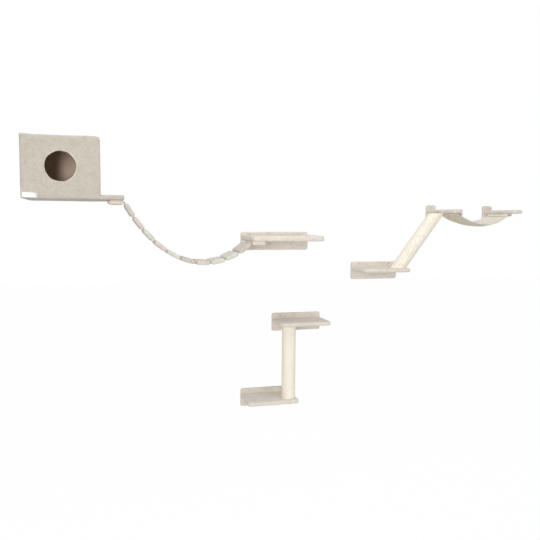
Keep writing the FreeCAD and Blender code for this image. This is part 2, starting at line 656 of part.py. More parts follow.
# ---- assembly -----------------------------------------------------------------------------
def build():
    wall_shelf("centre_shelf", CENTRE_LEFT, CENTRE_TOP, CENTRE_WIDTH, CENTRE_DEPTH, CENTRE_DROP,
               BOARD_CORNER, row_of_wall_holes(CENTRE_LEFT, CENTRE_TOP, CENTRE_WIDTH),
               4, SCREW_INSET, CENTRE_COVERED)
    steps = {"ramp_step": (RAMP_STEP_LEFT, RAMP_STEP_TOP),
             "high_step": (HIGH_STEP_LEFT, HIGH_STEP_TOP),
             "low_step": (LOW_STEP_LEFT, LOW_STEP_TOP)}
    for name, (left, top) in steps.items():
        wall_shelf(name, left, top, STEP_WIDTH, STEP_DEPTH, STEP_DROP, BOARD_CORNER,
                   row_of_wall_holes(left, top, STEP_WIDTH), 3, SCREW_INSET)
    for side, left in (("left", LEFT_ARM_LEFT), ("right", RIGHT_ARM_LEFT)):
        wall_shelf("hammock_" + side, left, ARM_PLATE_TOP, ARM_WIDTH, ARM_DEPTH, ARM_DROP,
                   ARM_CORNER, pair_of_wall_holes(left, ARM_PLATE_TOP, ARM_WIDTH),
                   2, ARM_WIDTH / 4)
    for piece, node in (("plate", "hammock_plates"), ("board", "hammock_arm_boards"),
                        ("cover", "hammock_arm_covers")):
        pair = NODES.pop("hammock_left_" + piece) + NODES.pop("hammock_right_" + piece)
        keep(node, *pair)

    cave()
    eye_holes = hammock()
    bridge()
    stud_holes = posts()
    screws = [countersunk(place, direction) for place, direction in SCREW_PLACES]
    holes = eye_holes + stud_holes + screw_holes()
    for node, solids in NODES.items():
        if node.endswith(DRILLED):
            NODES[node] = [drill(solid, holes) for solid in solids]
    keep("chipboard_screws", *screws)


def bridge():
    line = bridge_line()
    first_bend, last_bend, pivots, angles = line
    for i, angle in enumerate(angles):
        middle = (pivots[i] + pivots[i + 1]) * 0.5
        core, cover = slat_blocks(angle, middle)
        keep("bridge_slat_%02d" % (i + 1), core)
        keep("bridge_slat_%02d_plush" % (i + 1), cover)
    left_mid = Vector(CAVE_ARM_RIGHT - SLAT_LENGTH / 2, -BRIDGE_FROM_WALL, first_bend.z)
    right_mid = Vector(CENTRE_LEFT + SLAT_LENGTH / 2, -BRIDGE_FROM_WALL, last_bend.z)
    ends = [slat_blocks(0.0, left_mid), slat_blocks(0.0, right_mid)]
    keep("bridge_anchor_slats", *[core for core, _ in ends])
    keep("bridge_anchor_covers", *[cover for _, cover in ends])
    for side, y in zip(("front", "back"), cord_ys()):
        keep("bridge_cord_" + side, cord(y, line))
    for mid in (left_mid, right_mid):
        under = mid.z - BOARD / 2
        for dx in (-SLAT_LENGTH / 4, SLAT_LENGTH / 4):
            row = even_places(mid.y - CORD_SPACING / 4, mid.y + CORD_SPACING / 4, 2)
            screw_row([Vector(mid.x + dx, y, under) for y in row], Z_AXIS)


def ramp_ends():
    """Foot and head of the sloping post, which leans until it comes near the left sleeve."""
    foot = Vector(RAMP_STEP_RIGHT - RAMP_FOOT_FROM_END, -RAMP_FROM_WALL, RAMP_STEP_SURFACE)
    sleeve_x, _, sleeve_z = rod_places()
    across, up = sleeve_x - foot.x, sleeve_z - foot.z
    clear = POST_R + RAMP_SLEEVE_GAP + SLEEVE_R
    lean = math.acos(clear / math.hypot(across, up)) - math.atan2(up, across)
    rise = ARM_UNDERSIDE - foot.z
    print("sloping post leans", round(math.degrees(lean), 2), "degrees")
    return foot, foot + Vector(rise * math.tan(lean), 0, rise)


def posts():
    post_y = -STEP_DEPTH + POST_FROM_FRONT
    foot = Vector(UPRIGHT_X, post_y, LOW_STEP_SURFACE)
    head = Vector(UPRIGHT_X, post_y, LOW_STEP_SURFACE + UPRIGHT_HEIGHT)
    ramp_foot, ramp_head = ramp_ends()
    head_stud = Vector(LEFT_ARM_LEFT + HEAD_STUD_INSET, -RAMP_FROM_WALL, ARM_UNDERSIDE)
    sets = [stud_set(foot, -Z_AXIS), stud_set(head, Z_AXIS),
            stud_set(ramp_foot + X_AXIS * FOOT_STUD_SHIFT, -Z_AXIS), stud_set(head_stud, Z_AXIS)]
    plugs = []
    for name, low, high in (("upright_post", foot, head), ("sloping_post", ramp_foot, ramp_head)):
        sisal, tube, ends = post(low, high)
        keep(name + "_sisal", sisal)
        keep(name + "_tube", tube)
        plugs += ends
    keep("post_plugs", *plugs)
    keep("post_studs", *[stud for stud, _, _ in sets])
    keep("post_tee_nuts", *[nut for _, nut, _ in sets])
    return [hole for _, _, hole in sets]


build()
os.makedirs("parts", exist_ok=True)
for node, solids in NODES.items():
    pieces = [piece for solid in solids for piece in solid.Solids]
    shape = pieces[0] if len(pieces) == 1 else Part.makeCompound(pieces)
    shape.exportStep("parts/" + node + ".step")
print(len(NODES), "nodes")
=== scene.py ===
import json
import math

import bmesh
import bpy
from bpy.props import FloatProperty, FloatVectorProperty, IntProperty, PointerProperty
from mathutils import Matrix, Vector, noise


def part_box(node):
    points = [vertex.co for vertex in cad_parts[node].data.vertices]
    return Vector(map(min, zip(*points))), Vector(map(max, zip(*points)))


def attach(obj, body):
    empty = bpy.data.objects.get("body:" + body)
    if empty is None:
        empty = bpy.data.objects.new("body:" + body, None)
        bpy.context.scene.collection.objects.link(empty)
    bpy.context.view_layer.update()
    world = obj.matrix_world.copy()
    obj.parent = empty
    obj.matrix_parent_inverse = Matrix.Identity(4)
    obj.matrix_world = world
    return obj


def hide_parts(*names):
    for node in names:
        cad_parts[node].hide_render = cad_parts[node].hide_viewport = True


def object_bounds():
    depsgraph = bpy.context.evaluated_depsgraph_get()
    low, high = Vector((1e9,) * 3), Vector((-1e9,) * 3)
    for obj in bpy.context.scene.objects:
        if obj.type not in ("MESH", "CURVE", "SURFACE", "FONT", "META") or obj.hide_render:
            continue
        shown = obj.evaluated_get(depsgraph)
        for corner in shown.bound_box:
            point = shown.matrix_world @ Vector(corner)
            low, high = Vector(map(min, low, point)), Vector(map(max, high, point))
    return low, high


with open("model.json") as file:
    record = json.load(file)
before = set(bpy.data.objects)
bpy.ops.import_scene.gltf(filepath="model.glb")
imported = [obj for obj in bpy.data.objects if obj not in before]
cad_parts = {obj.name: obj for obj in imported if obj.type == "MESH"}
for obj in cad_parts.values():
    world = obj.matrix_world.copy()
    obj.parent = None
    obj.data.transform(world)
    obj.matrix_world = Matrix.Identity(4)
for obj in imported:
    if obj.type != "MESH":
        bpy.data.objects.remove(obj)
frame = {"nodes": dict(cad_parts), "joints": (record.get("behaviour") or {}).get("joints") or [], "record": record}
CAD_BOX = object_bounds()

bl_info = {
    "name": "Wall Cat Tree",
    "version": (1, 0, 0),
    "blender": (4, 5, 0),
    "location": "3D View > Sidebar > Cat Tree",
    "description": "Dresses a wall mounted cat tree in plush, sisal, cord and bare board",
    "category": "Object",
}

# All lengths are in metres.  +X runs to the right along the wall, +Y into the wall, +Z up.
MM = 0.001
ROOT = "wall_units"
SLATS = 10
SHELF_CORNER = 25 * MM      # a shelf's two front corners, seen from above
ARM_CORNER = 14 * MM        # the same on the hammock's arms
PLATE_CORNER = 12 * MM      # a wall plate's four corners, seen from the front
BOARD_ROUND = 7.5 * MM      # how far the plush rounds a board's edges
WALL_HOLE_R = 3 * MM
BROAD_LUMP = 55 * MM        # how far apart glued plush swells, and its smaller dents
SMALL_LUMP = 9 * MM
SLING_WIDTH = 210 * MM      # the cloth from its front edge to its back edge
X, Y, Z = range(3)


# ---- colours ------------------------------------------------------------------------------
def linear(hex_colour):
    """An sRGB hex colour as the linear values that the shaders take."""
    levels = [int(hex_colour[i:i + 2], 16) / 255 for i in (1, 3, 5)]
    return [v / 12.92 if v <= 0.04045 else ((v + 0.055) / 1.055) ** 2.4 for v in levels]


# ---- settings that a user would change ----------------------------------------------------
def colour_prop(name, description, hex_colour):
    return FloatVectorProperty(name=name, description=description, subtype="COLOR", size=3,
                               default=linear(hex_colour))


def length_prop(name, description, default):
    return FloatProperty(name=name, description=description, default=default, unit="LENGTH")


def number_prop(name, description, default):
    return FloatProperty(name=name, description=description, default=default)


class PlushSettings(bpy.types.PropertyGroup):
    body: colour_prop("Cave colour", "Plush on the cave", "#C5BEB2")
    shelf: colour_prop("Shelf colour", "Plush on shelves, arms and anchor slats", "#E5DCD1")
    grey: colour_prop("Grey tint", "Duller bolt of the same plush", "#CDC6BA")
    rose: colour_prop("Rose tint", "Warmer bolt of the same plush", "#D9CCC2")
    cream: colour_prop("Cream tint", "Paler bolt of the same plush", "#D8D6CB")
    proud: length_prop("Pile height", "How far the pile stands out", 0.9 * MM)
    thick: length_prop("Thickness", "Plush between a board and its surface", 1.5 * MM)
    grain: length_prop("Mesh size", "Length of one face of the plush mesh", 4.0 * MM)
    uneven: length_prop("Unevenness", "How far the plush swells in and out", 1.1 * MM)


class PostSettings(bpy.types.PropertyGroup):
    sisal: colour_prop("Sisal colour", "Rope on both posts", "#FBF6EA")
    rope: length_prop("Rope diameter", "Diameter of the sisal rope", 6.0 * MM)
    lay: length_prop("Rope lay", "Length in which a strand goes round once", 18.0 * MM)
    steps: IntProperty(name="Steps per turn", description="Mesh steps in one turn of the rope",
                       default=40, min=12)


class BridgeSettings(bpy.types.PropertyGroup):
    cord: colour_prop("Cord colour", "The two threaded cords", "#DDD6C8")
    diameter: length_prop("Cord diameter", "Diameter of the cords", 5.0 * MM)
    plump: length_prop("Slat rounding", "Rounding of a slat's long edges", 9.0 * MM)


class HammockSettings(bpy.types.PropertyGroup):
    cloth: colour_prop("Cloth colour", "Upper face of the sling", "#EFE7DA")
    # A real knitted backing, whose colour is darker than the upper face partly as painted shade under the sling.
    backing: colour_prop("Backing and shade colour", "Lower face of the sling, darker as painted shade", "#DCD4BC")
    thick: length_prop("Cloth thickness", "Plush and backing together", 2.0 * MM)
    hem: length_prop("Hem", "Width of the two folded hems", 13.0 * MM)
    stitch: length_prop("Stitch", "Length of one stitch", 3.2 * MM)


class StageSettings(bpy.types.PropertyGroup):
    floor_drop: length_prop("Floor drop", "Floor below the lowest shelf", 0.45)
    key: number_prop("Key light", "Power of the key light in watts", 57.0)
    fill: number_prop("Fill light", "Power of the fill light in watts", 24.0)
    top: number_prop("Top light", "Power of the light from above in watts", 44.0)
    sky: number_prop("Surround light", "Strength of the even light", 0.45)


# ---- modelling helpers --------------------------------------------------------------------
def only(obj):
    """Makes one object the only selected and the active one."""
    bpy.ops.object.select_all(action="DESELECT")
    obj.select_set(True)
    bpy.context.view_layer.objects.active = obj
    return obj


def settle(obj):
    """Puts an object's place, turn and size into its mesh."""
    only(obj)
    bpy.ops.object.transform_apply(location=True, rotation=True, scale=True)
    return obj


def cube(name, low, high):
    """A plain block between two corners, the start of a modelled piece."""
    low, high = Vector(low), Vector(high)
    bpy.ops.object.select_all(action="DESELECT")
    bpy.ops.mesh.primitive_cube_add(size=1, location=(low + high) / 2)
    obj = bpy.context.object
    obj.name = name
    obj.scale = high - low
    return settle(obj)


def cylinder(name, start, end, radius, sides=48):
    """A plain round bar from one point to another."""
    start, end = Vector(start), Vector(end)
    along = end - start
    bpy.ops.object.select_all(action="DESELECT")
    bpy.ops.mesh.primitive_cylinder_add(vertices=sides, radius=radius, depth=along.length,
                                        location=(start + end) / 2)
    obj = bpy.context.object
    obj.name = name
    obj.rotation_mode = "QUATERNION"
    obj.rotation_quaternion = Vector((0, 0, 1)).rotation_difference(along)
    return settle(obj)


def edit(obj, kind):
    """Opens a mesh for editing with nothing selected, in vertex, edge or face mode."""
    only(obj)
    bpy.ops.object.mode_set(mode="EDIT")
    bpy.ops.mesh.select_mode(type=kind)
    bpy.ops.mesh.select_all(action="DESELECT")
    return bmesh.from_edit_mesh(obj.data)


def done(obj):
    bpy.ops.object.mode_set(mode="OBJECT")
    return obj


def new_object(name, data):
    """An object with the given data, linked to the scene."""
    obj = bpy.data.objects.new(name, data)
    bpy.context.scene.collection.objects.link(obj)
    return obj


def twin(model, name):
    """A copy of an object with its own mesh."""
    return new_object(name, model.data.copy())


def box_of(node):
    """The two corners of a node's box."""
    return [Vector(corner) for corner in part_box(node)]


def modify(obj, kind, **settings):
    """Adds a modifier with its settings and applies it."""
    only(obj)
    modifier = obj.modifiers.new(kind.title(), kind)
    for name, value in settings.items():
        setattr(modifier, name, value)
    bpy.ops.object.modifier_apply(modifier=modifier.name)
    return obj


def cut(obj, cutter):
    """Cuts one object out of another and removes the cutter."""
    modify(obj, "BOOLEAN", operation="DIFFERENCE", object=cutter, solver="EXACT")
    bpy.data.objects.remove(cutter, do_unlink=True)
    return obj


def join(name, parts):
    """Joins several objects into one."""
    bpy.ops.object.select_all(action="DESELECT")
    for part in parts:
        part.select_set(True)
    bpy.context.view_layer.objects.active = parts[0]
    if len(parts) > 1:
        bpy.ops.object.join()
    parts[0].name = name
    return parts[0]


def cloud(size):
    """A procedural cloud texture whose lumps have the given size."""
    name = "lumps of %.0f mm" % (size / MM)
    texture = bpy.data.textures.get(name) or bpy.data.textures.new(name, "CLOUDS")
    texture.noise_scale = size
    texture.noise_depth = 1
    return texture


def swell(obj, size, strength, middle=0.5):
    """Moves the surface in and out by soft lumps, as glued plush does on a board."""
    return modify(obj, "DISPLACE", texture=cloud(size), texture_coords="LOCAL",
                  strength=strength, mid_level=middle)


def soften(obj, radius, grain, uneven):
    """Rounds the edges, gives the skin an even mesh and makes it swell unevenly outwards."""
    modify(obj, "BEVEL", width=radius, segments=3, limit_method="ANGLE",
           angle_limit=math.radians(40))
    modify(obj, "REMESH", mode="VOXEL", voxel_size=grain, use_smooth_shade=True)
    modify(obj, "SMOOTH", factor=0.5, iterations=2)
    swell(obj, BROAD_LUMP, uneven, 0.3)
    swell(obj, SMALL_LUMP, uneven * 0.45)
    return smooth(obj)


def smooth(obj):
    only(obj)
    bpy.ops.object.shade_smooth()
    return obj


def bevel_along(obj, axis, radius, segments, test=lambda corner: True):
    """Rounds the edges that run along one axis where the test holds."""
    across = [k for k in (X, Y, Z) if k != axis]
    mesh = edit(obj, "EDGE")
    for edge in mesh.edges:
        a, b = (corner.co for corner in edge.verts)
        if all(abs(a[k] - b[k]) < 1e-6 for k in across) and test(a):
            edge.select_set(True)
    bmesh.update_edit_mesh(obj.data)
    bpy.ops.mesh.bevel(offset=radius, segments=segments, affect="EDGES")
    return done(obj)


def face_outwards(obj):
    """Turns all faces of a shell the same way round."""
    edit(obj, "FACE")
    bpy.ops.mesh.select_all(action="SELECT")
    bpy.ops.mesh.normals_make_consistent(inside=False)
    return done(obj)


def tube(name, points, radius, sides=4, steps=8, closed=False):
    """A round cord along a smooth line through given control points."""
    curve = bpy.data.curves.new(name, "CURVE")
    curve.dimensions = "3D"
    curve.bevel_depth = radius
    curve.bevel_resolution = sides
    curve.resolution_u = steps
    curve.use_fill_caps = not closed
    spline = curve.splines.new("NURBS")
    spline.points.add(len(points) - 1)
    for point, place in zip(spline.points, points):
        point.co = (*place, 1.0)
    spline.order_u = min(3, len(points))
    spline.use_endpoint_u = not closed
    spline.use_cyclic_u = closed
    only(new_object(name, curve))
    bpy.ops.object.convert(target="MESH")
    return smooth(bpy.context.object)


def piece(obj, body, slot, *nodes):
    """Parents a finished piece to the empty of the body it rides on and hides the parts that it replaces; the
    slot, its finish, is not used.
    """
    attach(obj, body)
    if nodes:
        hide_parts(*nodes)
    return obj


def solids_of(node):
    """Boxes of a node's solids, from left to right."""
    mesh = bmesh.new()
    mesh.from_mesh(frame["nodes"][node].data)
    bmesh.ops.remove_doubles(mesh, verts=mesh.verts, dist=0.01 * MM)
    left, boxes = set(mesh.verts), []
    while left:
        group, queue = [], [left.pop()]
        while queue:
            vertex = queue.pop()
            group.append(vertex.co.copy())
            for edge in vertex.link_edges:
                other = edge.other_vert(vertex)
                if other in left:
                    left.remove(other)
                    queue.append(other)
        boxes.append((Vector([min(p[i] for p in group) for i in range(3)]),
                      Vector([max(p[i] for p in group) for i in range(3)])))
    mesh.free()
    return sorted(boxes, key=lambda box: box[0].x)


# ---- material helpers ---------------------------------------------------------------------
def make(recipe, name, *values):
    """The material of that name, built by its recipe the first time it is asked for."""
    material = bpy.data.materials.get(name)
    if material is None:
        material = bpy.data.materials.new(name)
        material.use_nodes = True
        tree = material.node_tree
        tree.nodes.clear()
        add(tree, "ShaderNodeOutputMaterial", {"Surface": recipe(tree, *values)})
    return material


def add(tree, kind, inputs=None, **settings):
    """Adds a node with its settings, values and links."""
    node = tree.nodes.new(kind)
    for name, value in settings.items():
        setattr(node, name, value)
    for name, value in (inputs or {}).items():
        if isinstance(value, bpy.types.NodeSocket):
            tree.links.new(value, node.inputs[name])
        else:
            node.inputs[name].default_value = value
    return node


def per_mm(size):
    """The scale of a pattern whose features are that many millimetres apart."""
    return 1.0 / (size * MM)


def rgba(colour):
    return (*colour, 1.0)


def shade(colour, factor):
    return [min(1.0, channel * factor) for channel in colour]


def ramp(tree, value, stops):
    """A colour ramp with stops of (position, colour)."""
    node = add(tree, "ShaderNodeValToRGB", {"Fac": value})
    elements = node.color_ramp.elements
    while len(elements) < len(stops):
        elements.new(0.5)
    for element, (position, colour) in zip(elements, stops):
        element.position = position
        element.color = rgba(colour)
    return node.outputs["Color"]


def multiply(tree, a, b, factor=1.0):
    return add(tree, "ShaderNodeMix", {"Factor": factor, 6: a, 7: b},
               data_type="RGBA", blend_type="MULTIPLY").outputs[2]


def maths(tree, operation, a, b):
    return add(tree, "ShaderNodeMath", {0: a, 1: b}, operation=operation).outputs[0]


def own_place(tree):
    """Where a point lies in its own object."""
    return add(tree, "ShaderNodeTexCoord").outputs["Object"]


def lumps(tree, place, size, detail, roughness=0.5, distortion=0.0):
    """Noise whose lumps are that many millimetres apart."""
    return add(tree, "ShaderNodeTexNoise",
               {"Vector": place, "Scale": per_mm(size), "Detail": detail,
                "Roughness": roughness, "Distortion": distortion}).outputs["Fac"]


def surface(tree, relief, strength, depth, inputs, invert=False):
    """A shader with the given inputs and a bump from the relief, its depth in millimetres."""
    bump = add(tree, "ShaderNodeBump", {"Height": relief, "Strength": strength,
                                        "Distance": depth * MM}, invert=invert)
    return add(tree, "ShaderNodeBsdfPrincipled",
               {**inputs, "Normal": bump.outputs["Normal"]}).outputs["BSDF"]


def plush(tree, colour):
    """Short plush: a brushed knit whose nap lies in patches, so it looks mottled and soft.

    The pile itself is too fine to show, so its bump is drawn at 2.5 mm."""
    place = own_place(tree)
    patch = lumps(tree, place, 30, 4, 0.62, 0.6)
    nap = lumps(tree, place, 7, 3, 0.6)
    pile = lumps(tree, place, 2.5, 2)
    dull = [colour[0] * 0.90, colour[1] * 0.885, colour[2] * 0.87]
    fresh = [colour[0] * 1.03, colour[1] * 1.045, colour[2] * 1.03]
    broad = ramp(tree, patch, [(0.30, dull), (0.50, colour), (0.70, fresh)])
    fine = ramp(tree, nap, [(0.30, [0.91] * 3), (0.70, [1.06] * 3)])
    tufts = ramp(tree, pile, [(0.30, [0.92] * 3), (0.72, [1.06] * 3)])
    tone = multiply(tree, multiply(tree, broad, fine), tufts)
    return surface(tree, maths(tree, "ADD", nap, pile), 0.75, 1.2,
                   {"Base Color": tone, "Roughness": 0.95, "Sheen Weight": 0.25,
                    "Sheen Roughness": 0.6, "Specular IOR Level": 0.15})


def sisal(tree, colour):
    """Sisal rope: stiff pale leaf fibres in three twisted strands, matt, a little uneven, with painted shade in
    the grooves between the strands.
    """
    rope = add(tree, "ShaderNodeUVMap", uv_map="rope").outputs["UV"]
    place = own_place(tree)
    strand = add(tree, "ShaderNodeTexWave", {"Vector": rope, "Scale": 2 * math.pi / 20,
                                             "Distortion": 0.6, "Detail": 1.0},
                 wave_type="BANDS", bands_direction="DIAGONAL").outputs["Fac"]
    fibre = lumps(tree, place, 1.6, 3, 0.7)
    patch = lumps(tree, place, 26, 3)
    broad = ramp(tree, patch, [(0.30, shade(colour, 0.97)), (0.52, colour),
                               (0.72, shade(colour, 1.03))])
    grain = ramp(tree, fibre, [(0.28, [0.97, 0.955, 0.93]), (0.62, [1.06] * 3)])
    # Painted shade: the colour goes darker and warmer in the grooves between the strands, and a little lighter on
    # their crowns.
    groove_shade = ramp(tree, strand, [(0.0, [0.94, 0.92, 0.88]), (0.40, [1.05] * 3)])
    tone = multiply(tree, multiply(tree, broad, grain), groove_shade, 0.8)
    return surface(tree, maths(tree, "ADD", strand, fibre), 0.8, 0.8,
                   {"Base Color": tone, "Roughness": 0.9, "Specular IOR Level": 0.2})


def braid(tree, colour):
    """Braided polyester cord: crossing yarns with a faint gloss and painted shade in the gaps between them."""
    yarn = add(tree, "ShaderNodeTexVoronoi",
               {"Vector": own_place(tree), "Scale": per_mm(1.4)}).outputs["Distance"]
    # Painted shade: the colour darkens from each yarn's middle into the gaps between the yarns.
    tone = ramp(tree, yarn, [(0.2, shade(colour, 1.05)), (0.9, shade(colour, 0.7))])
    return surface(tree, yarn, 0.6, 0.4,
                   {"Base Color": tone, "Roughness": 0.7, "Sheen Weight": 0.1}, invert=True)


def fibreboard(tree, colour):
    """Bare fibreboard: pressed pale wood fibre, matt, with fine dark and pale flecks.

    The paper tubes and the softwood plugs wear it too, each in its own colour."""
    place = own_place(tree)
    fleck = lumps(tree, place, 3.0, 5, 0.75)
    patch = lumps(tree, place, 60, 2)
    tone = ramp(tree, fleck, [(0.30, shade(colour, 0.72)), (0.52, colour),
                              (0.70, shade(colour, 1.25))])
    drift = ramp(tree, patch, [(0.3, [0.92] * 3), (0.7, [1.05] * 3)])
    return surface(tree, fleck, 0.25, 0.3,
                   {"Base Color": multiply(tree, tone, drift), "Roughness": 0.82,
                    "Specular IOR Level": 0.3})


def zinc(tree):
    """Bright zinc plated steel: a bluish silver with fine tumbling marks."""
    mark = lumps(tree, own_place(tree), 2.0, 4)
    rough = add(tree, "ShaderNodeMapRange", {"Value": mark, "To Min": 0.28, "To Max": 0.5})
    return surface(tree, mark, 0.15, 0.1,
                   {"Base Color": rgba(linear("#C4C6C8")), "Metallic": 1.0,
                    "Roughness": rough.outputs["Result"]})


def moulded(tree, colour):
    """Moulded polypropylene: a fine spark-eroded grain with a soft gloss."""
    grain = lumps(tree, own_place(tree), 0.8, 2)
    tone = ramp(tree, grain, [(0.3, shade(colour, 0.9)), (0.7, shade(colour, 1.08))])
    return surface(tree, grain, 0.2, 0.1, {"Base Color": tone, "Roughness": 0.55})


def woven(tree, colour, thread):
    """Plain woven cloth: threads crossing over and under, a size given in millimetres."""
    place = own_place(tree)
    weave = add(tree, "ShaderNodeTexChecker", {"Vector": place, "Scale": per_mm(thread),
                                               "Color1": rgba(shade(colour, 0.93)),
                                               "Color2": rgba(colour)}).outputs
    drift = ramp(tree, lumps(tree, place, 9, 3), [(0.3, [0.93] * 3), (0.7, [1.04] * 3)])
    return surface(tree, weave["Fac"], 0.3, 0.2,
                   {"Base Color": multiply(tree, weave["Color"], drift), "Roughness": 0.85,
                    "Sheen Weight": 0.1})


def wear(obj, material):
    """Gives a piece or a carried-over part one material all over."""
    obj.data.materials.clear()
    obj.data.materials.append(material)
    return obj


# ---- boards and plates --------------------------------------------------------------------
def board_skin(name, low, high, corner, settings):
    """Plush round a shelf board that butts against its plate."""
    pad = settings.thick + settings.proud
    low = low - Vector((pad, pad, pad))
    high = high + Vector((pad, 0, pad))
    obj = cube(name, low, high)
    bevel_along(obj, Z, corner, 7, lambda p: p.y < low.y + pad)
    return soften(obj, BOARD_ROUND, settings.grain, settings.uneven)


def plate_skin(name, low, high, holes, settings):
    """Plush over a wall plate's front and edges, open for the plate's bare back."""
    pad = settings.thick + settings.proud
    obj = cube(name, low - Vector((pad, pad, pad)), high + Vector((pad, -0.6 * MM, pad)))
    bevel_along(obj, Y, PLATE_CORNER, 5)
    soften(obj, 3 * MM, settings.grain, settings.uneven * 0.8)
    for x, z in holes:
        cut(obj, cylinder("bit", (x, low.y - 0.01, z), (x, high.y + 0.01, z), WALL_HOLE_R, 20))
    return obj


def wall_holes(low, high, mounts):
    """The wall holes of the record that lie in a plate."""
    found = []
    for mount in mounts:
        if mount["kind"] != "bolt_pattern" or mount["dims"]["count"] != 2:
            continue
        x, _, z = mount["pos_m"]
        dx = mount["dims"].get("spacing_x_mm", 0) * MM / 2
        dz = mount["dims"].get("spacing_y_mm", 0) * MM / 2
        for sign in (-1, 1):
            hole = (x + sign * dx, z + sign * dz)
            if low.x < hole[0] < high.x and low.z < hole[1] < high.z:
                found.append(hole)
    return found


class CATTREE_OT_shelves(bpy.types.Operator):
    """Dresses the centre shelf, the three steps and the hammock's arms in plush"""
    bl_idname = "cattree.shelves"
    bl_label = "Shelves and arms"

    def execute(self, context):
        settings = context.scene.cat_tree_plush
        cloth = make(plush, "Short plush, shelves", list(settings.shelf))
        mounts = frame["record"]["mounts"]
        units = [(unit, "%s_plate" % unit, "%s_board" % unit, "%s_cover" % unit, SHELF_CORNER)
                 for unit in ("centre_shelf", "ramp_step", "high_step", "low_step")]
        units.append(("hammock_arm", "hammock_plates", "hammock_arm_boards",
                      "hammock_arm_covers", ARM_CORNER))
        for unit, plate, board, cover, corner in units:
            for kind, node in (("plate", plate), ("board", board)):
                for i, (low, high) in enumerate(solids_of(node)):
                    name = "%s_%s_plush_%d" % (unit, kind, i + 1)
                    if kind == "plate":
                        holes = wall_holes(low, high, mounts)
                        obj = plate_skin(name, low, high, holes, settings)
                    else:
                        obj = board_skin(name, low, high, corner, settings)
                    piece(wear(obj, cloth), ROOT, "plush", cover)
        return {"FINISHED"}


